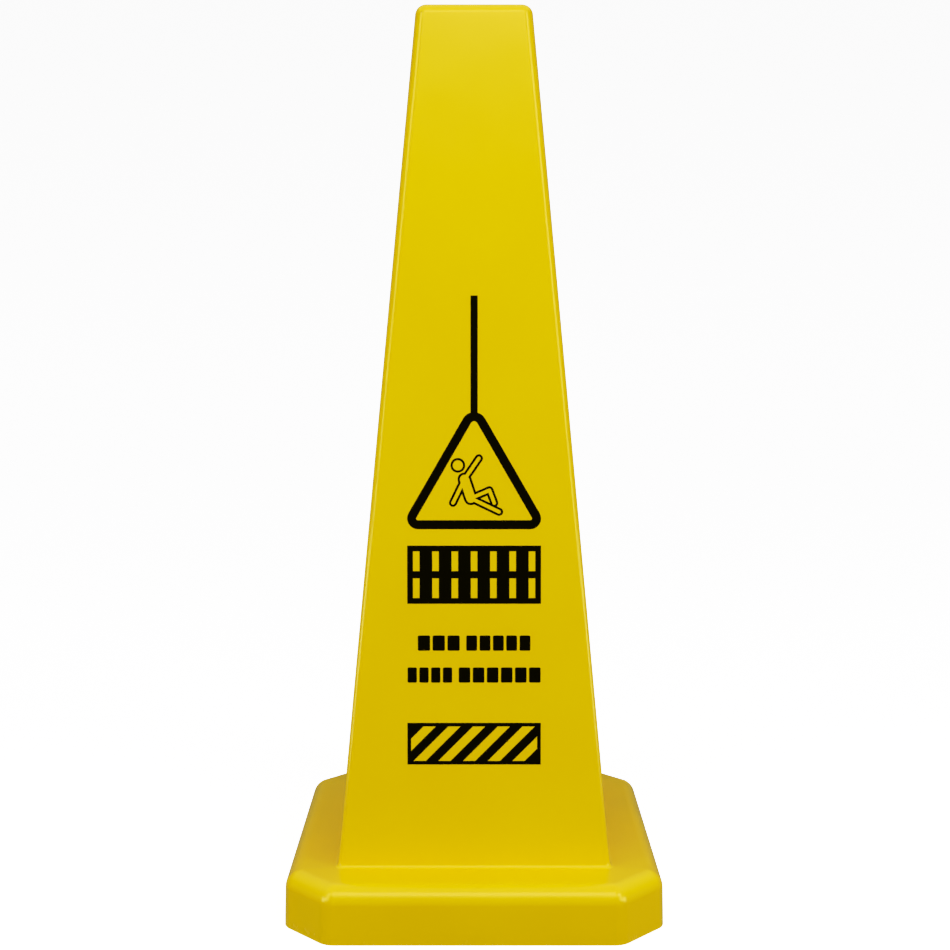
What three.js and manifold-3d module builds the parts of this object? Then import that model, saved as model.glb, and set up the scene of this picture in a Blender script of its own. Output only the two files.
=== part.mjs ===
// Four-sided floor safety sign: a hollow pyramid moulded in one piece with its square base, and the same
// warning print on each of its four faces. Millimetres, +Z up. The origin is the middle of the footprint, on
// the floor, and the front face looks along -Y.
import * as THREE from "three";
import { mergeVertices } from "three/addons/utils/BufferGeometryUtils.js";
import Module from "manifold-3d";

// Moulding: overall sizes
const OVERALL_HEIGHT = 609.6;
const BASE_WIDTH = 254;
const SKIRT_HEIGHT = 37.4;
const BODY_FOOT_WIDTH = 182.9;
const BODY_TOP_WIDTH = 76.7;
const WALL = 2.5;

// Moulding: base
const SKIRT_DRAFT = 0.85; // how far each side of the skirt leans in over its height
const BASE_CROWN = 1.2; // rise of the base's top from its edge to the foot of the body
const BASE_CORNER_CUT = 30; // length of side that each 45 degree corner takes away
const BASE_CORNER_ROUND = 12;
const SKIRT_EDGE_ROUND = 12;

// Moulding: body
const FOOT_FILLET = 3;
const TOP_EDGE_ROUND = 7;
const BODY_FOOT_CORNER_ROUND = 3;
const BODY_TOP_CORNER_ROUND = 7;

// Moulding: stiffening ribs under the base's top
const RIB_THICKNESS = 2;
const RIB_DEPTH = 12;
const RIB_SPACING = 90; // between the two ribs of one side
const RIB_CAVITY_CLEARANCE = 4; // keeps the mouth of the body open for the cone stacked below

// Print: shared sizes
const PRINT_WIDTH = 89;
const PRINT_THICKNESS = 0.2;
const PRINT_CLEARANCE = 0.3; // between a face and the back of its print

// Print: plain striped block at the bottom
const STRIPES_ABOVE_FOOT = 69.7;
const STRIPES_HEIGHT = 28;
const STRIPES_BORDER = 2.4;
const STRIPE_COUNT = 6; // unprinted stripes
const STRIPE_SHARE = 0.5; // share of the pitch that is unprinted

// Print: two lines of plain bars
const BAR_HEIGHT = 10.2;
const BAR_GAP = 4.4;
const UPPER_BAR_WIDTHS = { short: 27.9, long: 42.7 };
const LOWER_BAR_WIDTHS = { short: 29.7, long: 54.6 };
const STRIPES_TO_BARS = 27;
const BAR_LINE_GAP = 11.2;

// Print: panel with two rows of unprinted blocks
const BARS_TO_PANEL = 21.2;
const PANEL_MARGIN = 3.8;
const PANEL_ROW_GAP = 4.8;
const PANEL_ROWS = 2;
const BLOCK_HEIGHT = 13.2;
const BLOCK_WIDTH = 4.4;
const BLOCKS_PER_ROW = 7;

// Print: warning triangle and the line that it hangs from
const PANEL_TO_TRIANGLE = 10.9;
const TRIANGLE_STROKE = 6;
const TRIANGLE_FOOT_ROUND = 7.2;
const TRIANGLE_APEX_ROUND = 8.4;
const STEM_WIDTH = 4.7;
const STEM_LENGTH = 77;

// Print: outlined slipping figure, placed from the middle of the triangle's lower edge
const FIGURE_LINE = 1.5;
const HEAD_RADIUS = 4.9;
const LIMB_RADIUS = 2.7;
const TORSO_RADIUS = 4.6;
const HEAD = [-10.8, 42.5];
const SHOULDER = [-6.4, 33.2];
const HIP = [-2.2, 20.6];
const RAISED_HAND = [3.2, 47.2];
const LOWER_HAND = [-14, 17.6];
const HEEL = [16.6, 11.6];
const KNEE = [10.2, 26];
const FOOT_ALONG_LEG = 0.74; // where the bent leg's foot stands along the straight leg

// Smoothness
const CORNER_STEPS = 2; // facets in each 45 degrees of a section's corner
const EDGE_STEPS = 4; // facets in each rounded edge of the wall's outline
const LIMB_STEPS = 4; // pairs of facets in each round end of a limb
const HEAD_STEPS = 12; // pairs of facets round the head
const TRIANGLE_STEPS = 4; // pairs of facets in each corner of the triangle

// Derived sizes
const CROWN_HEIGHT = SKIRT_HEIGHT + BASE_CROWN;
const SKIRT_TOP_WIDTH = BASE_WIDTH - 2 * SKIRT_DRAFT;
const FACE_LEAN = Math.atan2((BODY_FOOT_WIDTH - BODY_TOP_WIDTH) / 2, OVERALL_HEIGHT - CROWN_HEIGHT);
const PANEL_HEIGHT = 2 * PANEL_MARGIN + PANEL_ROWS * BLOCK_HEIGHT + (PANEL_ROWS - 1) * PANEL_ROW_GAP;
const LOWER_BARS_AT = STRIPES_ABOVE_FOOT + STRIPES_HEIGHT + STRIPES_TO_BARS;
const UPPER_BARS_AT = LOWER_BARS_AT + BAR_HEIGHT + BAR_LINE_GAP;
const PANEL_AT = UPPER_BARS_AT + BAR_HEIGHT + BARS_TO_PANEL;
const TRIANGLE_AT = PANEL_AT + PANEL_HEIGHT + PANEL_TO_TRIANGLE;

const SIDES = 4;
const RIGHT_ANGLE = Math.PI / 2;
const EIGHTH = Math.PI / 4;
const SHARP = 0.4; // smallest rounding left where an inset would use a corner up
const CUT_PER_ROUND = 2 - Math.SQRT2; // the cut at which two 45 degree roundings make one of 90 degrees

const wasm = await Module();
wasm.setup();

// ---------------------------------------------------------------- solids

function solid(geometry) {
  const bare = geometry.clone();
  bare.deleteAttribute("normal");
  bare.deleteAttribute("uv");
  const merged = mergeVertices(bare);
  return new wasm.Manifold(
    new wasm.Mesh({
      numProp: 3,
      vertProperties: merged.attributes.position.array,
      triVerts: new Uint32Array(merged.index.array),
    }),
  );
}

function geometryOf(body) {
  const mesh = body.getMesh();
  const geometry = new THREE.BufferGeometry();
  geometry.setAttribute("position", new THREE.BufferAttribute(mesh.vertProperties, mesh.numProp));
  geometry.setIndex(new THREE.BufferAttribute(mesh.triVerts, 1));
  geometry.computeVertexNormals();
  return geometry;
}

const joined = (bodies) => bodies.reduce((whole, body) => whole.add(body));

// ---------------------------------------------------------------- moulding

// A level's section is a square with its corners cut at 45 degrees and each cut's two ends rounded.
const bodySection = (height) => {
  const share = (height - CROWN_HEIGHT) / (OVERALL_HEIGHT - CROWN_HEIGHT);
  const round = THREE.MathUtils.lerp(BODY_FOOT_CORNER_ROUND, BODY_TOP_CORNER_ROUND, share);
  const half = THREE.MathUtils.lerp(BODY_FOOT_WIDTH, BODY_TOP_WIDTH, share) / 2;
  return { half, cut: CUT_PER_ROUND * round, round };
};

const baseSection = (height) => {
  const half = THREE.MathUtils.lerp(BASE_WIDTH, SKIRT_TOP_WIDTH, height / SKIRT_HEIGHT) / 2;
  return { half, cut: BASE_CORNER_CUT, round: BASE_CORNER_ROUND };
};

// Narrows a section to the given half width by moving all its sides in, or out, by the same distance.
function narrowed(section, half) {
  const inset = section.half - half;
  const round = Math.min(Math.max(section.round - inset, SHARP), half);
  const cut = Math.max(section.cut - CUT_PER_ROUND * inset, CUT_PER_ROUND * round);
  return { half, cut: Math.min(cut, half), round };
}

// Sharp corners of the wall's outer outline, from the middle of the top down to the floor. x is the half
// width and y the height. A negative rounding fills a hollow corner.
const OUTLINE = [
  { at: new THREE.Vector2(0, OVERALL_HEIGHT), round: 0, section: bodySection },
  { at: new THREE.Vector2(BODY_TOP_WIDTH / 2, OVERALL_HEIGHT), round: TOP_EDGE_ROUND, section: bodySection },
  { at: new THREE.Vector2(BODY_FOOT_WIDTH / 2, CROWN_HEIGHT), round: -FOOT_FILLET, section: bodySection },
  { at: new THREE.Vector2(SKIRT_TOP_WIDTH / 2, SKIRT_HEIGHT), round: SKIRT_EDGE_ROUND, section: baseSection },
  { at: new THREE.Vector2(BASE_WIDTH / 2, 0), round: 0, section: baseSection },
];

// The outline's corners moved into the wall by depth. The last one stays on the floor.
function sunkCorners(depth) {
  const normals = OUTLINE.slice(1).map(({ at }, index) => {
    const along = at.clone().sub(OUTLINE[index].at).normalize();
    return new THREE.Vector2(-along.y, along.x);
  });
  return OUTLINE.map(({ at, round }, index) => {
    const before = normals[index - 1];
    const after = normals[index];
    if (!before) return { at: at.clone().addScaledVector(after, -depth), round: 0 };
    if (!after) return { at: new THREE.Vector2(at.x - depth / before.x, at.y), round: 0 };
    const reach = depth / (1 + before.dot(after));
    const moved = at.clone().addScaledVector(before, -reach).addScaledVector(after, -reach);
    return { at: moved, round: Math.max(Math.abs(round - depth), SHARP) };
  });
}

// Points of the arc that rounds the corner between its two neighbours. It takes up no more than half of
// either side.
function roundedCorner(before, corner, after, wanted) {
  const back = before.clone().sub(corner).normalize();
  const ahead = after.clone().sub(corner).normalize();
  const halfAngle = Math.acos(back.dot(ahead)) / 2;
  const room = Math.min(before.distanceTo(corner), after.distanceTo(corner)) / 2;
  const tangent = Math.min(wanted / Math.tan(halfAngle), room);
  const radius = tangent * Math.tan(halfAngle);
  const middle = back.clone().add(ahead).normalize();
  const centre = corner.clone().addScaledVector(middle, radius / Math.sin(halfAngle));
  const start = corner.clone().addScaledVector(back, tangent).sub(centre);
  const end = corner.clone().addScaledVector(ahead, tangent).sub(centre);
  const sweep = Math.atan2(start.cross(end), start.dot(end));
  return Array.from({ length: EDGE_STEPS + 1 }, (_, step) =>
    start.clone().rotateAround(new THREE.Vector2(), (sweep * step) / EDGE_STEPS).add(centre),
  );
}

// Levels of the wall's surface at a depth under its outside: a height and the section there.
function levelsAt(depth) {
  const corners = sunkCorners(depth);
  return corners.flatMap(({ at, round }, index) => {
    const atAnEnd = index === 0 || index === corners.length - 1;
    const points = atAnEnd
      ? [at]
      : roundedCorner(corners[index - 1].at, at, corners[index + 1].at, round);
    return points.map(({ x, y }) => ({ height: y, section: narrowed(OUTLINE[index].section(y), x) }));
  });
}

// Point of a section, counted round its eight corner arcs.
function sectionPoint({ half, cut, round }, index) {
  const arc = Math.floor(index / (CORNER_STEPS + 1));
  const turned = (index % (CORNER_STEPS + 1)) / CORNER_STEPS;
  const toSide = half - round;
  const toCut = (2 * half - cut) * Math.SQRT1_2 - round;
  const [near, far] = arc % 2 ? [toCut, toSide] : [toSide, toCut];
  const across = (far - near * Math.cos(EIGHTH)) / Math.sin(EIGHTH);
  return new THREE.Vector2(near, across)
    .add(new THREE.Vector2(round, 0).rotateAround(new THREE.Vector2(), turned * EIGHTH))
    .rotateAround(new THREE.Vector2(), arc * EIGHTH);
}

// A lathe's closed surface with each of its rings made four-sided.
function fourSided(levels) {
  const around = 2 * SIDES * (CORNER_STEPS + 1);
  const profile = levels.map(({ section, height }) => new THREE.Vector2(section.half, height));
  const lathe = new THREE.LatheGeometry(profile, around);
  const position = lathe.getAttribute("position");
  for (let index = 0; index < position.count; index += 1) {
    const { section, height } = levels[index % levels.length];
    const turn = Math.floor(index / levels.length) % around;
    const point = sectionPoint(section, turn);
    position.setXYZ(index, point.x, point.y, height);
  }
  return solid(lathe);
}

// One gusset between the body's foot and the skirt, in the plane across its side.
function rib() {
  const top = CROWN_HEIGHT - WALL / 2;
  const bottom = CROWN_HEIGHT - WALL - RIB_DEPTH;
  const inner = BODY_FOOT_WIDTH / 2 + RIB_CAVITY_CLEARANCE;
  const outer = BASE_WIDTH / 2;
  const outline = new THREE.Shape([
    new THREE.Vector2(inner, top),
    new THREE.Vector2(inner + RIB_DEPTH / 2, bottom),
    new THREE.Vector2(outer, bottom),
    new THREE.Vector2(outer, top),
  ]);
  const plate = new THREE.ExtrudeGeometry(outline, { depth: RIB_THICKNESS, bevelEnabled: false });
  return plate.translate(0, 0, -RIB_THICKNESS / 2).rotateX(RIGHT_ANGLE);
}

function ribs() {
  const all = [];
  for (let side = 0; side < SIDES; side += 1) {
    for (const end of [-1, 1]) {
      const placed = rib().translate(0, (end * RIB_SPACING) / 2, 0).rotateZ(side * RIGHT_ANGLE);
      all.push(solid(placed));
    }
  }
  return joined(all);
}

function coneShell() {
  const outside = levelsAt(0);
  const inside = levelsAt(WALL);
  const wall = fourSided([...inside, ...outside.toReversed()]);
  const halfWall = levelsAt(WALL / 2);
  const floorCentre = { height: 0, section: narrowed(baseSection(0), 0) };
  const core = fourSided([floorCentre, ...halfWall.toReversed()]);
  return geometryOf(wall.add(ribs().intersect(core)));
}

// ---------------------------------------------------------------- print
// Each print is drawn with x across its face and y up from the middle of its own lower edge.

const film = (shape, steps = 1) =>
  new THREE.ExtrudeGeometry(shape, { depth: PRINT_THICKNESS, bevelEnabled: false, curveSegments: steps });

function plate(left, bottom, width, height) {
  const outline = new THREE.Shape([
    new THREE.Vector2(left, bottom),
    new THREE.Vector2(left + width, bottom),
    new THREE.Vector2(left + width, bottom + height),
    new THREE.Vector2(left, bottom + height),
  ]);
  return film(outline);
}

// An upright equilateral triangle's outline with its sides moved in by inset and its corners rounded.
function triangleOutline(inset) {
  const slope = Math.sqrt(3);
  const side = PRINT_WIDTH + 2 * TRIANGLE_FOOT_ROUND * (slope - 1) - 2 * inset * slope;
  const foot = TRIANGLE_FOOT_ROUND - inset;
  const apex = TRIANGLE_APEX_ROUND - inset;
  const footX = side / 2 - foot * slope;
  const apexY = inset + (side * slope) / 2 - 2 * apex;
  const third = Math.PI / 3;
  const outline = new THREE.Shape();
  outline.absarc(footX, inset + foot, foot, -RIGHT_ANGLE, third / 2);
  outline.absarc(0, apexY, apex, third / 2, Math.PI - third / 2);
  outline.absarc(-footX, inset + foot, foot, Math.PI - third / 2, Math.PI + RIGHT_ANGLE);
  return outline;
}

function triangleSign() {
  const ring = triangleOutline(0);
  ring.holes.push(triangleOutline(TRIANGLE_STROKE));
  const apexTop = Math.max(...ring.getPoints(TRIANGLE_STEPS).map(({ y }) => y));
  const overlap = TRIANGLE_STROKE / 2;
  const stem = plate(-STEM_WIDTH / 2, apexTop - overlap, STEM_WIDTH, STEM_LENGTH + overlap);
  return geometryOf(solid(film(ring, TRIANGLE_STEPS)).add(solid(stem)));
}

// A straight limb with round ends.
function limb(from, to, radius) {
  const start = new THREE.Vector2(...from);
  const end = new THREE.Vector2(...to);
  const heading = end.clone().sub(start).angle();
  const outline = new THREE.Shape();
  outline.absarc(end.x, end.y, radius, heading - RIGHT_ANGLE, heading + RIGHT_ANGLE);
  outline.absarc(start.x, start.y, radius, heading + RIGHT_ANGLE, heading + Math.PI + RIGHT_ANGLE);
  return solid(film(outline, LIMB_STEPS));
}

// The foot of the bent leg stands on the straight leg so that their two lines become one.
function bentFoot() {
  const hip = new THREE.Vector2(...HIP);
  const along = new THREE.Vector2(...HEEL).sub(hip);
  const up = new THREE.Vector2(-along.y, along.x).normalize();
  const apart = 2 * LIMB_RADIUS - FIGURE_LINE;
  return hip.addScaledVector(along, FOOT_ALONG_LEG).addScaledVector(up, apart).toArray();
}

function figureBody(inset) {
  const slim = LIMB_RADIUS - inset;
  return joined([
    limb(SHOULDER, HIP, TORSO_RADIUS - inset),
    limb(SHOULDER, RAISED_HAND, slim),
    limb(SHOULDER, LOWER_HAND, slim),
    limb(HIP, HEEL, slim),
    limb(HIP, KNEE, slim),
    limb(KNEE, bentFoot(), slim),
  ]);
}

const slippingFigure = () => geometryOf(figureBody(0).subtract(figureBody(FIGURE_LINE)));

function figureHead() {
  const ring = new THREE.Shape();
  ring.absarc(...HEAD, HEAD_RADIUS, 0, 2 * Math.PI);
  const hole = new THREE.Path();
  hole.absarc(...HEAD, HEAD_RADIUS - FIGURE_LINE, 0, 2 * Math.PI);
  ring.holes.push(hole);
  return film(ring, HEAD_STEPS);
}

function cautionPanel() {
  const panel = solid(plate(-PRINT_WIDTH / 2, 0, PRINT_WIDTH, PANEL_HEIGHT));
  const left = PANEL_MARGIN - PRINT_WIDTH / 2;
  const pitch = (PRINT_WIDTH - 2 * PANEL_MARGIN - BLOCK_WIDTH) / (BLOCKS_PER_ROW - 1);
  const windows = [];
  for (let row = 0; row < PANEL_ROWS; row += 1) {
    const bottom = PANEL_MARGIN + row * (BLOCK_HEIGHT + PANEL_ROW_GAP);
    for (let block = 0; block < BLOCKS_PER_ROW; block += 1) {
      windows.push(solid(plate(left + block * pitch, bottom, BLOCK_WIDTH, BLOCK_HEIGHT)));
    }
  }
  return geometryOf(panel.subtract(joined(windows)));
}

// A short and a long bar side by side, centred as one line.
function barLine(name, widths, height) {
  const left = -(widths.short + BAR_GAP + widths.long) / 2;
  const bar = (width) => plate(-width / 2, 0, width, BAR_HEIGHT);
  return [
    { name: `${name}_bar_short`, geometry: bar(widths.short), x: left + widths.short / 2, y: height },
    { name: `${name}_bar_long`, geometry: bar(widths.long), x: -left - widths.long / 2, y: height },
  ];
}

function stripedBlock() {
  const block = solid(plate(-PRINT_WIDTH / 2, 0, PRINT_WIDTH, STRIPES_HEIGHT));
  const innerWidth = PRINT_WIDTH - 2 * STRIPES_BORDER;
  const innerHeight = STRIPES_HEIGHT - 2 * STRIPES_BORDER;
  const field = solid(plate(-innerWidth / 2, STRIPES_BORDER, innerWidth, innerHeight));
  const pitch = (innerWidth + innerHeight) / (STRIPE_COUNT + STRIPE_SHARE);
  const width = pitch * STRIPE_SHARE;
  const gaps = Array.from({ length: STRIPE_COUNT }, (_, index) => {
    const left = -innerWidth / 2 - innerHeight + pitch * (index + STRIPE_SHARE);
    return new THREE.Shape([
      new THREE.Vector2(left, STRIPES_BORDER),
      new THREE.Vector2(left + width, STRIPES_BORDER),
      new THREE.Vector2(left + width + innerHeight, STRIPES_BORDER + innerHeight),
      new THREE.Vector2(left + innerHeight, STRIPES_BORDER + innerHeight),
    ]);
  });
  const unprinted = joined(gaps.map((gap) => solid(film(gap)))).intersect(field);
  return geometryOf(block.subtract(unprinted));
}

const PRINTS = [
  { name: "triangle_sign", geometry: triangleSign(), x: 0, y: TRIANGLE_AT },
  { name: "slipping_figure", geometry: slippingFigure(), x: 0, y: TRIANGLE_AT },
  { name: "figure_head", geometry: figureHead(), x: 0, y: TRIANGLE_AT },
  { name: "caution_panel", geometry: cautionPanel(), x: 0, y: PANEL_AT },
  ...barLine("upper", UPPER_BAR_WIDTHS, UPPER_BARS_AT),
  ...barLine("lower", LOWER_BAR_WIDTHS, LOWER_BARS_AT),
  { name: "striped_block", geometry: stripedBlock(), x: 0, y: STRIPES_ABOVE_FOOT },
];

// ---------------------------------------------------------------- assembly

function mesh(name, geometry, finish) {
  const made = new THREE.Mesh(geometry, new THREE.MeshStandardMaterial(finish));
  made.name = name;
  return made;
}

const YELLOW_PLASTIC = { color: 0xe3c404, roughness: 0.32, metalness: 0 };
const BLACK_INK = { color: 0x12110e, roughness: 0.45, metalness: 0 };

const sign = new THREE.Group();
sign.add(mesh("cone_shell", coneShell(), YELLOW_PLASTIC));

["front", "right", "back", "left"].forEach((face, index) => {
  const side = new THREE.Group();
  side.rotation.z = index * RIGHT_ANGLE;
  const slope = new THREE.Group();
  slope.position.set(0, -BODY_FOOT_WIDTH / 2, CROWN_HEIGHT);
  slope.rotation.x = RIGHT_ANGLE - FACE_LEAN;
  for (const { name, geometry, x, y } of PRINTS) {
    const print = mesh(`${face}_${name}`, geometry, BLACK_INK);
    print.position.set(x, y, PRINT_CLEARANCE);
    slope.add(print);
  }
  side.add(slope);
  sign.add(side);
});

export default sign;
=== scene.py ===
import math

import bmesh
import bpy
from mathutils import Matrix, Vector


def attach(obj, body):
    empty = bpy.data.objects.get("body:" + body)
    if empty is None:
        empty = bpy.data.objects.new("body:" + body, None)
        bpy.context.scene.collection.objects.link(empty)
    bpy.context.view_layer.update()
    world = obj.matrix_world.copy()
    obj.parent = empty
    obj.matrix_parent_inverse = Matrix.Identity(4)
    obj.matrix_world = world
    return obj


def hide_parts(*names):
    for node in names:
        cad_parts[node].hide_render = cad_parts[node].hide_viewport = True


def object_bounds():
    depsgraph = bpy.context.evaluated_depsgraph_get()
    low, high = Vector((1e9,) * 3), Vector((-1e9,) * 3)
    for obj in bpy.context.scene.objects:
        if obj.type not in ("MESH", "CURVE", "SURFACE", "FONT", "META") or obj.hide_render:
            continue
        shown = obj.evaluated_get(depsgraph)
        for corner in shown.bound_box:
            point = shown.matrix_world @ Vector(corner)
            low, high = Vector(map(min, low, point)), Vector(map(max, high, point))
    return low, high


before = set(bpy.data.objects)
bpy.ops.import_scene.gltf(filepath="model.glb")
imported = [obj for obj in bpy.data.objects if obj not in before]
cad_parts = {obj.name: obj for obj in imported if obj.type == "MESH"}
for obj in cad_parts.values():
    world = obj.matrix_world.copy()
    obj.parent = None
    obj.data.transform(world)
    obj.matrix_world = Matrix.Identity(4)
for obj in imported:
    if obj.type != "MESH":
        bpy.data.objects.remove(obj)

bl_info = {
    "name": "Floor safety sign",
    "version": (1, 0, 0),
    "blender": (4, 5, 0),
    "location": "View3D > Sidebar > Sign",
    "description": "Moulds a four-sided floor safety sign, prints its faces and sets it in a studio",
    "category": "Object",
}

# The sign stands on the floor around the origin and its front face looks along -Y. Everything is in metres.
CAD_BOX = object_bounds()
HEIGHT = CAD_BOX[1].z
BASE_HALF = CAD_BOX[1].x

BODY = "root"
SHELL_NODE = "cone_shell"
FACES = ("front", "right", "back", "left")
RIGHT_ANGLE = math.pi / 2
EIGHTH = math.pi / 4
MILLIMETRE = 0.001
MERGE_DISTANCE = 1e-6


# ------------------------------------------------------------------ settings


def length(name, default, description):
    return bpy.props.FloatProperty(
        name=name, description=description, default=default, min=0, unit="LENGTH", precision=4
    )


def share(name, default, description):
    return bpy.props.FloatProperty(
        name=name, description=description, default=default, min=0, max=1, subtype="FACTOR"
    )


def amount(name, default, description):
    return bpy.props.FloatProperty(name=name, description=description, default=default, min=0)


def colour(name, default, description):
    return bpy.props.FloatVectorProperty(
        name=name, description=description, default=default, size=3, min=0, max=1, subtype="COLOR"
    )


def place(name, default, description):
    return bpy.props.FloatVectorProperty(
        name=name, description=description, default=default, size=3, subtype="TRANSLATION", unit="LENGTH"
    )


class ShellSizes(bpy.types.PropertyGroup):
    """Sizes of the moulding. Its height and the width of its base come from the frame."""

    wall: length("Wall", 0.0025, "Thickness of the moulding")
    skirt_height: length("Skirt height", 0.0374, "Height of the base's sides")
    skirt_draft: length("Skirt draft", 0.00085, "How far each side of the skirt leans in over its height")
    base_crown: length("Base crown", 0.0012, "Rise of the base's top from its edge to the body")
    base_cut: length("Base corner cut", 0.030, "Length of side that each 45 degree corner takes away")
    base_round: length("Base corner rounding", 0.012, "Rounding at the ends of each corner cut")
    skirt_edge: length("Skirt edge rounding", 0.012, "Rounding between the skirt and the base's top")
    foot_width: length("Body foot width", 0.1829, "Width of the body where it meets the base")
    top_width: length("Body top width", 0.0767, "Width of the body at its top, as sharp corners")
    foot_fillet: length("Foot fillet", 0.003, "Hollow rounding between the body and the base")
    foot_corner: length("Foot corner rounding", 0.003, "Rounding of the body's corners at its foot")
    top_corner: length("Top corner rounding", 0.007, "Rounding of the body's corners at its top")
    top_edge: length("Top edge rounding", 0.007, "Rounding round the flat top")
    gate_radius: length("Gate radius", 0.006, "Radius of the shallow dish where the plastic was let in")
    gate_depth: length("Gate depth", 0.0004, "Depth of that dish")
    rib_thickness: length("Rib thickness", 0.002, "Thickness of a stiffening rib under the base")
    rib_depth: length("Rib depth", 0.012, "How far a rib hangs down")
    rib_spacing: length("Rib spacing", 0.090, "Distance between the two ribs of a side")
    rib_clearance: length("Rib clearance", 0.004, "Room kept between the ribs and the mouth of the body")
    corner_steps: bpy.props.IntProperty(
        name="Corner steps", description="Faces round each 45 degrees of a corner", default=6, min=1
    )
    edge_steps: bpy.props.IntProperty(
        name="Edge steps", description="Faces across each rounded edge", default=10, min=1
    )


class PrintSizes(bpy.types.PropertyGroup):
    """Sizes of the print that the frame doesn't give."""

    press: share("Press", 0.1, "Share of a film's distance from its face that is kept")
    ink: length("Ink thickness", 0.00002, "Thickness of the ink where it is drawn anew")
    ink_lift: length("Ink lift", 0.00003, "Distance from the face to the back of that ink")
    block_gap: length("Block gap", 0.0017, "Gap between the blocks of a line")
    block_corner: length("Block corner", 0.0009, "Rounding of a block's corners")
    short_upper: bpy.props.IntProperty(
        name="Upper short", description="Blocks in the upper line's short group", default=3, min=1
    )
    long_upper: bpy.props.IntProperty(
        name="Upper long", description="Blocks in the upper line's long group", default=5, min=1
    )
    short_lower: bpy.props.IntProperty(
        name="Lower short", description="Blocks in the lower line's short group", default=4, min=1
    )
    long_lower: bpy.props.IntProperty(
        name="Lower long", description="Blocks in the lower line's long group", default=6, min=1
    )
    corner_steps: bpy.props.IntProperty(
        name="Corner steps", description="Faces round a block's corner", default=4, min=1
    )


class Finishes(bpy.types.PropertyGroup):
    """Colours and gloss of the plastic and the ink."""

    plastic: colour("Plastic", (0.82, 0.540, 0.003), "Colour of the moulding")
    plastic_pale: colour("Pale plastic", (0.84, 0.570, 0.004), "Colour of the moulding's paler clouds")
    # The darker colour low on the base is painted contact shade at the floor, not a colour of the plastic.
    contact_shade: colour("Scuffed plastic", (0.74, 0.51, 0.02), "Colour where the base is rubbed")
    gloss_tint: colour("Gloss tint", (1.0, 0.9, 0.4), "Tint of the plastic's straight-on gloss")
    plastic_gloss: share("Plastic gloss", 0.5, "Strength of the plastic's gloss")
    plastic_roughness: share("Plastic roughness", 0.16, "Roughness of the clean moulding")
    ink_colour: colour("Ink", (0.0015, 0.001, 0.001), "Colour of the printed ink")
    ink_gloss: share("Ink gloss", 0.03, "Strength of the ink's gloss")
    ink_roughness: share("Ink roughness", 0.40, "Roughness of the printed ink")


class StageSettings(bpy.types.PropertyGroup):
    """Floor, lights and camera."""

    floor_radius: length("Floor radius", 3.0, "Radius of the flat floor")
    bend_radius: length("Bend radius", 1.6, "Radius of the floor's bend up into the wall")
    wall_height: length("Wall height", 2.5, "Height of the wall above the bend")
    floor_colour: colour("Floor", (0.90, 0.90, 0.90), "Colour of the floor and the wall")
    floor_glow: amount("Floor glow", 1.5, "Light that the floor and the wall give off themselves")
    sky_above: share("Sky above", 0.7, "Strength of the soft light from above")
    sky_level: share("Sky level", 0.13, "Strength of the soft light from the sides, level with the floor")
    sky_below: share("Sky below", 0.15, "Strength of the soft light thrown back from below")
    key_power: amount("Key power", 5.1, "Watts of the soft box close over the front")
    far_power: amount("Far power", 0.7, "Watts of the narrow soft box farther off, over the camera")
    left_power: amount("Left power", 4.6, "Watts of the tall soft box on the left")
    right_power: amount("Right power", 6.0, "Watts of the tall soft box on the right")
    low_power: amount("Low power", 1.4, "Watts of each soft box low at the sides")
    floor_power: amount("Floor power", 0.12, "Watts thrown back by the floor in front")
    camera_place: place("Camera place", (0.0005, -1.066, 0.4296), "Place of the camera")
    camera_pitch: bpy.props.FloatProperty(
        name="Camera pitch", description="How far the camera looks down",
        default=math.radians(7.35), subtype="ANGLE",
    )
    camera_turn: bpy.props.FloatProperty(
        name="Camera turn", description="How far the camera is turned to the left",
        default=-0.0001, subtype="ANGLE",
    )
    focal_length: bpy.props.FloatProperty(
        name="Focal length", description="Focal length of the lens in millimetres", default=57.5, min=1
    )


# ------------------------------------------------------------------ shader building


class Value:
    """A node's output that takes part in Python arithmetic. Each operation adds one Math node."""

    def __init__(self, shader, socket):
        self.shader = shader
        self.socket = socket

    def maths(self, operation, *inputs):
        return self.shader.node("ShaderNodeMath", {"operation": operation}, dict(enumerate(inputs)))

    def __add__(self, other):
        return self.maths("ADD", self, other)

    def __radd__(self, other):
        return self.maths("ADD", other, self)

    def __sub__(self, other):
        return self.maths("SUBTRACT", self, other)

    def __rsub__(self, other):
        return self.maths("SUBTRACT", other, self)

    def __mul__(self, other):
        return self.maths("MULTIPLY", self, other)

    def __rmul__(self, other):
        return self.maths("MULTIPLY", other, self)


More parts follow.
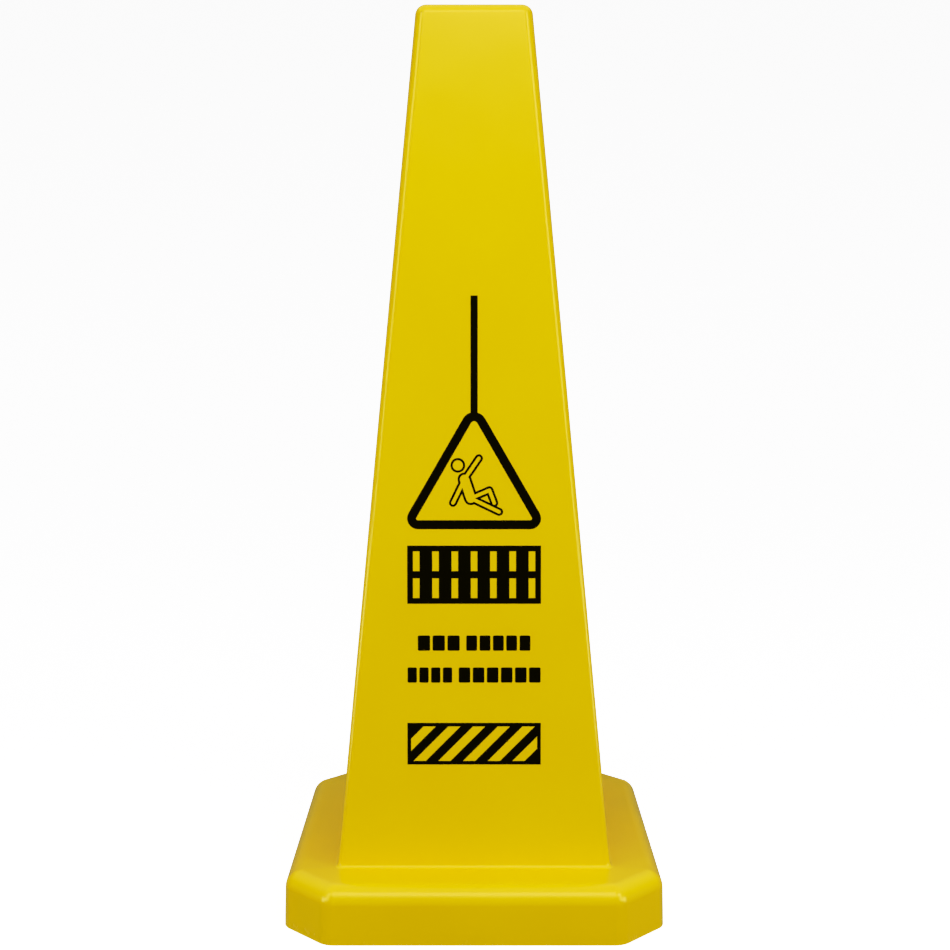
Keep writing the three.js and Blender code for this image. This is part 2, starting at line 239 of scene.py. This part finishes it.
class Shader:
    """The node tree of a material or a world."""

    def __init__(self, owner):
        self.owner = owner
        owner.use_nodes = True
        self.tree = owner.node_tree
        self.tree.nodes.clear()

    def node(self, kind, settings, inputs, output=0):
        """Adds a node, gives it its settings, then its inputs, and returns one of its outputs."""
        made = self.tree.nodes.new(kind)
        for name, setting in settings.items():
            if name == "stops":
                self.set_stops(made.color_ramp, setting)
            else:
                setattr(made, name, setting)
        for name, value in inputs.items():
            if isinstance(value, Value):
                self.tree.links.new(value.socket, made.inputs[name])
            else:
                made.inputs[name].default_value = value
        return Value(self, made.outputs[output])

    @staticmethod
    def set_stops(ramp, stops):
        while len(ramp.elements) < len(stops):
            ramp.elements.new(1)
        for element, (position, level) in zip(ramp.elements, stops):
            element.position = position
            element.color = (level, level, level, 1)

    def coordinates(self, kind="Object"):
        return self.node("ShaderNodeTexCoord", {}, {}, kind)

    def noise(self, scale, detail=2, roughness=0.5, stretch=(1, 1, 1)):
        """Soft noise with about scale clouds to the metre. A stretch under 1 draws it out along that axis."""
        placed = self.node("ShaderNodeMapping", {}, {"Vector": self.coordinates(), "Scale": stretch})
        inputs = {"Vector": placed, "Scale": scale, "Detail": detail, "Roughness": roughness}
        return self.node("ShaderNodeTexNoise", {}, inputs)

    def ramp(self, value, *stops):
        return self.node("ShaderNodeValToRGB", {"stops": stops}, {"Fac": value})

    def blend(self, factor, first, second):
        """Goes from the first colour to the second."""
        colours = {0: factor, 6: opaque(first), 7: opaque(second)}
        return self.node("ShaderNodeMix", {"data_type": "RGBA"}, colours, 2)

    def bump(self, height, distance, below=None):
        inputs = {"Height": height, "Distance": distance, "Strength": 1}
        if below:
            inputs["Normal"] = below
        return self.node("ShaderNodeBump", {}, inputs)

    def finish(self, kind, surface):
        """Ends the tree and returns the material or world that it belongs to."""
        end = self.tree.nodes.new(kind)
        self.tree.links.new(surface.socket, end.inputs["Surface"])
        return self.owner

    def plain_surface(self, inputs):
        return self.finish("ShaderNodeOutputMaterial", self.node("ShaderNodeBsdfPrincipled", {}, inputs))


def opaque(value):
    return value if isinstance(value, Value) else (*value, 1)


def new_material_shader(name):
    return Shader(bpy.data.materials.new(name))


def plastic_material(finishes):
    """Glossy moulded plastic: faint clouds of colour, a slow wave, fine grain, and rubbing low down, where
    the darker colour is painted contact shade.
    """
    shader = new_material_shader("glossy_yellow_plastic")
    height = shader.node("ShaderNodeSeparateXYZ", {}, {"Vector": shader.coordinates()}, "Z")
    clouds = shader.ramp(shader.noise(7, 4), (0.35, 0), (0.65, 1))
    flow = shader.noise(60, 3, 0.6, (1, 1, 0.12))
    low = shader.ramp(height, (0, 1), (0.012, 0))
    # Patchy mask over the lowest 12 mm: it raises the roughness as rubbing wear and darkens the colour as
    # painted contact shade.
    contact_shade_and_wear = low * shader.ramp(shader.noise(90, 5, 0.7), (0.5, 0), (0.75, 1))
    tint = shader.blend(clouds * 0.6 + flow * 0.2, finishes.plastic, finishes.plastic_pale)
    roughness = finishes.plastic_roughness + 0.05 * flow + 0.25 * contact_shade_and_wear
    wave = shader.bump(shader.noise(16, 1), 0.0009)
    grain = shader.bump(shader.noise(900, 2), 0.000012, wave)
    return shader.plain_surface({
        "Base Color": shader.blend(contact_shade_and_wear * 0.4, tint, finishes.contact_shade),
        "Roughness": roughness,
        "IOR": 1.5,
        "Specular IOR Level": finishes.plastic_gloss,
        "Specular Tint": opaque(finishes.gloss_tint),
        "Normal": grain,
    })


def ink_material(finishes):
    """Printed ink: near black, a little duller than the plastic, with a fine uneven lay."""
    shader = new_material_shader("printed_black_ink")
    lay = shader.noise(380, 4, 0.6)
    tint = shader.blend(lay, finishes.ink_colour, [1.6 * level for level in finishes.ink_colour])
    wave = shader.bump(shader.noise(16, 1), 0.0009)
    return shader.plain_surface({
        "Base Color": tint,
        "Roughness": finishes.ink_roughness + 0.08 * lay,
        "Specular IOR Level": finishes.ink_gloss,
        "Normal": shader.bump(lay, 0.00001, wave),
    })


def floor_material(stage):
    """Matt pale floor that glows a little, so that it stays pale away from the lights."""
    shader = new_material_shader("pale_floor")
    return shader.plain_surface({
        "Base Color": opaque(stage.floor_colour),
        "Roughness": 0.9,
        "Specular IOR Level": 0.1,
        "Emission Color": opaque(stage.floor_colour),
        "Emission Strength": stage.floor_glow,
    })


def material_for(name, build, settings):
    """The material of that name, built the first time that it is asked for."""
    return bpy.data.materials.get(name) or build(settings)


# ------------------------------------------------------------------ meshes


def new_object(name, bm, material, smooth=False):
    mesh = bpy.data.meshes.new(name)
    bm.to_mesh(mesh)
    bm.free()
    mesh.materials.append(material)
    if smooth:
        mesh.shade_smooth()
    made = bpy.data.objects.new(name, mesh)
    bpy.context.scene.collection.objects.link(made)
    return made


def round_corners(bm, corners, offset, steps):
    """Cuts corners of a flat outline back along their sides, to an arc of that many steps."""
    return bmesh.ops.bevel(
        bm, geom=corners, offset=offset, offset_type="OFFSET", affect="VERTICES",
        segments=steps, profile=0.5, material=-1, clamp_overlap=False,
    )


# ------------------------------------------------------------------ moulding

CUT_PER_ROUND = 2 - math.sqrt(2)  # the cut at which two 45 degree roundings make one of 90 degrees
LEAST_CUT_PER_ROUND = 0.6  # leaves a sliver of flat between the two, so that no face is without width
RIM_SLOPE = 0.1  # rise of the rim's underside towards the inside, as a share of its width
ROUNDEST = 0.97  # share of a section's half width that its rounding can take up
SHARP = 0.4 * MILLIMETRE  # smallest rounding left where an inset would use a corner up
GATE_RIM = 0.04 * MILLIMETRE  # how far the flat top slopes down to the gate's rim


class Section:
    """The moulding at one height: a square with its corners cut at 45 degrees and the cuts' ends rounded."""

    def __init__(self, height, half, full_half, full_cut, full_rounding):
        inset = full_half - half
        self.height = height
        self.half = half
        self.full = (full_half, full_cut, full_rounding)
        self.rounding = max(full_rounding - inset, SHARP)
        self.cut = max(full_cut - CUT_PER_ROUND * inset, LEAST_CUT_PER_ROUND * self.rounding)

    def sunk(self, depth_in, depth_down):
        """The section under this one, inside the wall."""
        return Section(self.height - depth_down, self.half - depth_in, *self.full)

    def add_to(self, bm, steps):
        """Draws the section and returns the edges round it."""
        turned = Matrix.Translation((0, 0, self.height)) @ Matrix.Rotation(EIGHTH, 4, "Z")
        square = bmesh.ops.create_circle(
            bm, cap_ends=True, segments=4, radius=self.half * math.sqrt(2), matrix=turned
        )
        cut = round_corners(bm, square["verts"], self.cut, 1)
        rounded = round_corners(bm, cut["verts"], self.rounding * math.tan(EIGHTH / 2), steps)
        face = rounded["verts"][0].link_faces[0]
        edges = list(face.edges)
        bmesh.ops.delete(bm, geom=[face], context="FACES_ONLY")
        return edges


def lerp(first, second, along):
    return first + (second - first) * along


def crown_height(sizes):
    return sizes.skirt_height + sizes.base_crown


def base_section(sizes, half, height):
    full_half = BASE_HALF - sizes.skirt_draft * height / sizes.skirt_height
    return Section(height, half, full_half, sizes.base_cut, sizes.base_round)


def body_section(sizes, half, height):
    along = (height - crown_height(sizes)) / (HEIGHT - crown_height(sizes))
    full_half = lerp(sizes.foot_width, sizes.top_width, along) / 2
    rounding = lerp(sizes.foot_corner, sizes.top_corner, along)
    return Section(height, half, full_half, 0, rounding)


def gate_section(height, radius):
    """A section that is rounded so far that it is all but a circle."""
    return Section(height, radius, radius, 0, ROUNDEST * radius)


def rounded_corner(before, corner, after, radius, steps, hollow=False):
    """Points of the arc that rounds a corner of the wall's outline, each with the way out of the wall."""
    back = (before - corner).normalized()
    ahead = (after - corner).normalized()
    half_angle = back.angle(ahead) / 2
    centre = corner + (back + ahead).normalized() * radius / math.sin(half_angle)
    start = corner + back * radius / math.tan(half_angle) - centre
    end = corner + ahead * radius / math.tan(half_angle) - centre
    sweep = start.angle_signed(end)
    spokes = [Matrix.Rotation(-sweep * step / steps, 2) @ start for step in range(steps + 1)]
    return [(centre + spoke, (-spoke if hollow else spoke).normalized()) for spoke in spokes]


def shell_levels(sizes):
    """The outside of the moulding from the floor up to the gate: each level with the way out of the wall."""
    floor = Vector((BASE_HALF, 0))
    skirt = Vector((BASE_HALF - sizes.skirt_draft, sizes.skirt_height))
    foot = Vector((sizes.foot_width / 2, crown_height(sizes)))
    top = Vector((sizes.top_width / 2, HEIGHT))
    middle = Vector((0, HEIGHT))
    steps = sizes.edge_steps
    edge = rounded_corner(floor, skirt, foot, sizes.skirt_edge, steps)
    fillet = rounded_corner(skirt, foot, top, sizes.foot_fillet, steps, hollow=True)
    rim = rounded_corner(foot, top, middle, sizes.top_edge, steps)
    upward = Vector((0, 1))
    outward = Vector((1, -RIM_SLOPE))
    levels = [(base_section(sizes, *point), out) for point, out in [(floor, outward), *edge]]
    levels += [(body_section(sizes, *point), out) for point, out in [*fillet, *rim]]
    levels += [
        (gate_section(HEIGHT - GATE_RIM, sizes.gate_radius), upward),
        (gate_section(HEIGHT - sizes.gate_depth, sizes.gate_radius / 2), upward),
    ]
    return levels


def shell_wall(sizes):
    """The moulding's wall, closed all round: down the inside and up the outside."""
    outside = shell_levels(sizes)
    inside = [level.sunk(sizes.wall * out.x, sizes.wall * out.y) for level, out in outside]
    bm = bmesh.new()
    around = [*reversed(inside), *(level for level, out in outside)]
    rings = [level.add_to(bm, sizes.corner_steps) for level in around]
    for first, second in zip(rings, rings[1:]):
        bmesh.ops.bridge_loops(bm, edges=first + second)
    for end in (rings[0], rings[-1]):
        bmesh.ops.contextual_create(bm, geom=end)
    bmesh.ops.recalc_face_normals(bm, faces=bm.faces)
    return bm


def ribs(sizes):
    """Two stiffening ribs under each side of the base, each ending inside the wall."""
    half_wall = sizes.wall / 2
    inner = sizes.foot_width / 2 + sizes.rib_clearance
    outer = BASE_HALF - sizes.skirt_draft - half_wall
    bottom = crown_height(sizes) - sizes.wall - sizes.rib_depth
    outline = [
        (inner, crown_height(sizes) - half_wall),
        (inner + sizes.rib_depth / 2, bottom),
        (outer, bottom),
        (outer, sizes.skirt_height - half_wall),
    ]
    bm = bmesh.new()
    for turn in range(len(FACES)):
        for end in (-1, 1):
            aside = (end * sizes.rib_spacing - sizes.rib_thickness) / 2
            corners = [bm.verts.new((x, aside, z)) for x, z in outline]
            bm.faces.new(corners)
            arc = round_corners(bm, corners[-1:], sizes.skirt_edge - half_wall, sizes.edge_steps)
            face = arc["verts"][0].link_faces[0]
            grown = bmesh.ops.extrude_face_region(bm, geom=[face])
            moved = [item for item in grown["geom"] if isinstance(item, bmesh.types.BMVert)]
            bmesh.ops.translate(bm, verts=moved, vec=(0, sizes.rib_thickness, 0))
            whole = list({*face.verts, *moved})
            quarter = Matrix.Rotation(turn * RIGHT_ANGLE, 3, "Z")
            bmesh.ops.rotate(bm, verts=whole, cent=(0, 0, 0), matrix=quarter)
    bmesh.ops.recalc_face_normals(bm, faces=bm.faces)
    return bm


def join_into(whole, part):
    """Unites part with whole and removes part."""
    union = whole.modifiers.new("Union", "BOOLEAN")
    union.operation = "UNION"
    union.solver = "EXACT"
    union.object = part
    evaluated = whole.evaluated_get(bpy.context.evaluated_depsgraph_get())
    united = bpy.data.meshes.new_from_object(evaluated)
    whole.modifiers.clear()
    whole.data = united
    bpy.data.objects.remove(part)


def smooth_faces(piece, sharp_from):
    """Shades a piece smooth, with its flats kept flat and the edges over that angle kept sharp."""
    piece.data.shade_smooth()
    piece.data.set_sharp_from_angle(angle=sharp_from)
    weighted = piece.modifiers.new("Flat faces stay flat", "WEIGHTED_NORMAL")
    weighted.keep_sharp = True


class SIGN_OT_shell(bpy.types.Operator):
    """Moulds the sign's body and base in one, with ribs underneath and a gate mark on top"""

    bl_idname = "sign.shell"
    bl_label = "Moulded shell"

    def execute(self, context):
        sizes = context.scene.sign_shell
        plastic = material_for("glossy_yellow_plastic", plastic_material, context.scene.sign_finishes)
        shell = new_object("moulded_shell", shell_wall(sizes), plastic)
        join_into(shell, new_object("ribs", ribs(sizes), plastic))
        smooth_faces(shell, math.radians(40))
        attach(shell, BODY)
        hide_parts(SHELL_NODE)
        return {"FINISHED"}


# ------------------------------------------------------------------ print


def face_frame(sizes, turn):
    """Places a face's drawing: x across the face, y up it from the body's foot, z off it."""
    lean = math.atan2((sizes.foot_width - sizes.top_width) / 2, HEIGHT - crown_height(sizes))
    foot = Matrix.Translation((0, -sizes.foot_width / 2, crown_height(sizes)))
    return Matrix.Rotation(turn * RIGHT_ANGLE, 4, "Z") @ foot @ Matrix.Rotation(RIGHT_ANGLE - lean, 4, "X")


def print_area(sizes, name):
    """Lowest and highest corner of a print in its face's drawing, from the front face's CAD node."""
    to_face = face_frame(sizes, 0).inverted()
    corners = [to_face @ vert.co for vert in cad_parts[f"front_{name}"].data.vertices]
    low = Vector([min(corner[axis] for corner in corners) for axis in range(3)])
    high = Vector([max(corner[axis] for corner in corners) for axis in range(3)])
    return low, high


def pressed_film(sizes, prints, name, turn):
    """A copy of a print's CAD film, pressed flat against its face."""
    bm = bmesh.new()
    bm.from_mesh(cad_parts[f"{FACES[turn]}_{name}"].data)
    bmesh.ops.remove_doubles(bm, verts=bm.verts, dist=MERGE_DISTANCE)
    to_face = face_frame(sizes, turn).inverted()
    bmesh.ops.scale(bm, vec=(1, 1, prints.press), space=to_face, verts=bm.verts)
    bmesh.ops.dissolve_limit(
        bm, angle_limit=math.radians(1), verts=bm.verts, edges=bm.edges, use_dissolve_boundaries=False
    )
    return bm


def add_block(bm, low, high, corner, steps):
    """Draws a flat block with rounded corners."""
    middle = (low + high) / 2
    half = (high - low) / 2
    shape = Matrix.Translation(middle) @ Matrix.Diagonal((half.x, half.y, 1, 1))
    drawn = bmesh.ops.create_grid(bm, x_segments=1, y_segments=1, size=1, matrix=shape)
    round_corners(bm, drawn["verts"], corner, steps)


def block_row(sizes, prints, name, count, turn):
    """A group of upright blocks that fills a bar's area, drawn as a film of ink on its face."""
    low, high = print_area(sizes, name)
    width = (high.x - low.x + prints.block_gap) / count
    bm = bmesh.new()
    for index in range(count):
        left = low.x + index * width
        add_block(
            bm,
            Vector((left, low.y, prints.ink_lift)),
            Vector((left + width - prints.block_gap, high.y, prints.ink_lift)),
            prints.block_corner,
            prints.corner_steps,
        )
    grown = bmesh.ops.extrude_face_region(bm, geom=bm.faces[:])
    moved = [item for item in grown["geom"] if isinstance(item, bmesh.types.BMVert)]
    bmesh.ops.translate(bm, verts=moved, vec=(0, 0, prints.ink))
    bmesh.ops.transform(bm, matrix=face_frame(sizes, turn), verts=bm.verts)
    bmesh.ops.recalc_face_normals(bm, faces=bm.faces)
    return bm


def add_prints(context, name, draw):
    """Makes one print on each of the four faces. draw(turn) gives its mesh."""
    ink = material_for("printed_black_ink", ink_material, context.scene.sign_finishes)
    for turn, face in enumerate(FACES):
        piece = new_object(f"{face}_{name}_print", draw(turn), ink)
        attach(piece, BODY)
        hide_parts(f"{face}_{name}")


def add_pressed(context, *names):
    sizes = context.scene.sign_shell
    prints = context.scene.sign_prints
    for name in names:
        add_prints(context, name, lambda turn, name=name: pressed_film(sizes, prints, name, turn))


class SIGN_OT_triangle(bpy.types.Operator):
    """Prints the warning triangle and the line that it hangs from on each face"""

    bl_idname = "sign.triangle"
    bl_label = "Warning triangles"

    def execute(self, context):
        add_pressed(context, "triangle_sign")
        return {"FINISHED"}


class SIGN_OT_figure(bpy.types.Operator):
    """Prints the outlined slipping figure and its head on each face"""

    bl_idname = "sign.figure"
    bl_label = "Slipping figures"

    def execute(self, context):
        add_pressed(context, "slipping_figure", "figure_head")
        return {"FINISHED"}


class SIGN_OT_panel(bpy.types.Operator):
    """Prints the panel with its two rows of unprinted blocks on each face"""

    bl_idname = "sign.panel"
    bl_label = "Panels"

    def execute(self, context):
        add_pressed(context, "caution_panel")
        return {"FINISHED"}


class SIGN_OT_block_rows(bpy.types.Operator):
    """Prints the two lines of upright blocks on each face"""

    bl_idname = "sign.block_rows"
    bl_label = "Lines of blocks"

    def execute(self, context):
        sizes = context.scene.sign_shell
        prints = context.scene.sign_prints
        counts = {
            "upper_bar_short": prints.short_upper,
            "upper_bar_long": prints.long_upper,
            "lower_bar_short": prints.short_lower,
            "lower_bar_long": prints.long_lower,
        }
        for name, count in counts.items():
            add_prints(
                context, name,
                lambda turn, name=name, count=count: block_row(sizes, prints, name, count, turn),
            )
        return {"FINISHED"}


class SIGN_OT_stripes(bpy.types.Operator):
    """Prints the plain striped block on each face"""

    bl_idname = "sign.stripes"
    bl_label = "Striped blocks"

    def execute(self, context):
        add_pressed(context, "striped_block")
        return {"FINISHED"}


# ------------------------------------------------------------------ stage

TONE_WHITE = 2  # brightness that is shown as white
TONES = [(0, 0), (0.62, 0.62), (1.0, 0.84), (1.3, 0.93), (TONE_WHITE, 1)]  # brightness and how it is shown
BLUE_TONES = [(0, 0), (0.004, 0), (1, 1)]  # takes the faintest blue away, as a share of white
BOXES = [  # soft boxes: name, place, point that it faces, width and height, setting with its power
    ("key_light", (0, -0.8, 1.15), (0, 0, 0.5), (1.0, 0.5), "key_power"),
    ("far_light", (0, -1.2, 1.15), (0, 0, 0.5), (0.9, 0.45), "far_power"),
    ("floor_light", (0, -0.5, 0.01), (0, 0, 0.1), (1.2, 0.3), "floor_power"),
    ("left_light", (-1.0, -0.84, 0.8), (0, 0, 0.45), (0.28, 1.1), "left_power"),
    ("right_light", (1.0, -0.84, 0.8), (0, 0, 0.45), (0.28, 1.1), "right_power"),
    ("low_left_light", (-0.8, -0.38, 0.16), (0, -0.1, 0.03), (0.3, 0.25), "low_power"),
    ("low_right_light", (0.8, -0.38, 0.16), (0, -0.1, 0.03), (0.3, 0.25), "low_power"),
]


def add_floor(stage):
    """A round floor that bends up into a wall. Only the camera sees it, so it casts no light on the sign."""
    steps = 12
    bend = [
        Vector((
            stage.floor_radius + stage.bend_radius * math.sin(RIGHT_ANGLE * step / steps),
            0,
            stage.bend_radius * (1 - math.cos(RIGHT_ANGLE * step / steps)),
        ))
        for step in range(steps + 1)
    ]
    top = bend[-1] + Vector((0, 0, stage.wall_height))
    bm = bmesh.new()
    verts = [bm.verts.new(point) for point in [Vector((0, 0, 0)), *bend, top]]
    edges = [bm.edges.new(pair) for pair in zip(verts, verts[1:])]
    bmesh.ops.spin(
        bm, geom=verts + edges, cent=(0, 0, 0), axis=(0, 0, 1), dvec=(0, 0, 0),
        angle=2 * math.pi, steps=96, use_merge=True, use_duplicate=False,
    )
    bmesh.ops.remove_doubles(bm, verts=bm.verts, dist=MERGE_DISTANCE)
    bmesh.ops.recalc_face_normals(bm, faces=bm.faces)
    if next(face for face in bm.faces if face.calc_center_median().z < MILLIMETRE).normal.z < 0:
        bmesh.ops.reverse_faces(bm, faces=bm.faces)
    floor = new_object("studio_floor", bm, floor_material(stage), smooth=True)
    floor.visible_diffuse = False
    floor.visible_glossy = False
    floor.visible_shadow = False


def add_light(name, place, aim, size, power):
    """A rectangular soft box at a place, facing a point. The camera doesn't see it."""
    light = bpy.data.lights.new(name, "AREA")
    light.shape = "RECTANGLE"
    light.size, light.size_y = size
    light.energy = power
    box = bpy.data.objects.new(name, light)
    box.location = place
    box.rotation_euler = (Vector(place) - Vector(aim)).to_track_quat("Z", "Y").to_euler()
    box.visible_camera = False
    bpy.context.scene.collection.objects.link(box)


def add_sky(stage):
    """Soft light from all round, dimmer at the level of the floor than above and below."""
    shader = Shader(bpy.data.worlds.new("soft_sky"))
    height = shader.node("ShaderNodeSeparateXYZ", {}, {"Vector": shader.coordinates("Generated")}, "Z")
    level = [(0.42, stage.sky_level), (0.72, stage.sky_level)]
    stops = [(0.2, stage.sky_below), *level, (0.88, stage.sky_above)]
    light = shader.ramp(0.5 + 0.5 * height, *stops)
    background = shader.node("ShaderNodeBackground", {}, {"Color": light, "Strength": 1})
    bpy.context.scene.world = shader.finish("ShaderNodeOutputWorld", background)


def set_tones(context):
    """Keeps colours straight up to the middle tones and rolls the brightest ones off, as a camera does."""
    view = context.scene.view_settings
    view.view_transform = "Standard"
    view.use_curve_mapping = True
    tones = view.curve_mapping
    tones.white_level = [TONE_WHITE] * 3
    draw_curve(tones.curves[3], [(scene / TONE_WHITE, shown) for scene, shown in TONES])
    draw_curve(tones.curves[2], BLUE_TONES)
    tones.update()


def draw_curve(curve, points):
    """Straight lines from point to point."""
    while len(curve.points) < len(points):
        curve.points.new(1, 1)
    for point, location in zip(curve.points, points):
        point.location = location
        point.handle_type = "VECTOR"


def add_camera(stage):
    camera = bpy.data.objects.new("camera", bpy.data.cameras.new("camera"))
    camera.data.lens = stage.focal_length
    camera.location = stage.camera_place
    camera.rotation_euler = (RIGHT_ANGLE - stage.camera_pitch, 0, stage.camera_turn)
    bpy.context.scene.collection.objects.link(camera)
    bpy.context.scene.camera = camera


class SIGN_OT_stage(bpy.types.Operator):
    """Sets up the pale floor, the soft lights and the camera"""

    bl_idname = "sign.stage"
    bl_label = "Stage"

    def execute(self, context):
        stage = context.scene.sign_stage
        set_tones(context)
        add_floor(stage)
        for name, place, aim, size, power in BOXES:
            add_light(name, place, aim, size, getattr(stage, power))
        add_sky(stage)
        add_camera(stage)
        return {"FINISHED"}


# ------------------------------------------------------------------ add-on


class SIGN_PT_panel(bpy.types.Panel):
    """Lists the steps that make the sign"""

    bl_idname = "SIGN_PT_panel"
    bl_label = "Floor safety sign"
    bl_space_type = "VIEW_3D"
    bl_region_type = "UI"
    bl_category = "Sign"

    def draw(self, context):
        for step in STEPS:
            self.layout.operator(step.bl_idname)


STEPS = (
    SIGN_OT_shell,
    SIGN_OT_triangle,
    SIGN_OT_figure,
    SIGN_OT_panel,
    SIGN_OT_block_rows,
    SIGN_OT_stripes,
    SIGN_OT_stage,
)
SETTINGS = {
    "sign_shell": ShellSizes,
    "sign_prints": PrintSizes,
    "sign_finishes": Finishes,
    "sign_stage": StageSettings,
}


def register():
    for kind in (*SETTINGS.values(), *STEPS, SIGN_PT_panel):
        bpy.utils.register_class(kind)
    for name, kind in SETTINGS.items():
        setattr(bpy.types.Scene, name, bpy.props.PointerProperty(type=kind))


def unregister():
    for name in SETTINGS:
        delattr(bpy.types.Scene, name)
    for kind in (SIGN_PT_panel, *reversed(STEPS), *reversed(SETTINGS.values())):
        bpy.utils.unregister_class(kind)


def main():
    register()
    for step in STEPS:
        group, name = step.bl_idname.split(".")
        getattr(getattr(bpy.ops, group), name)()


if __name__ == "__main__":
    main()
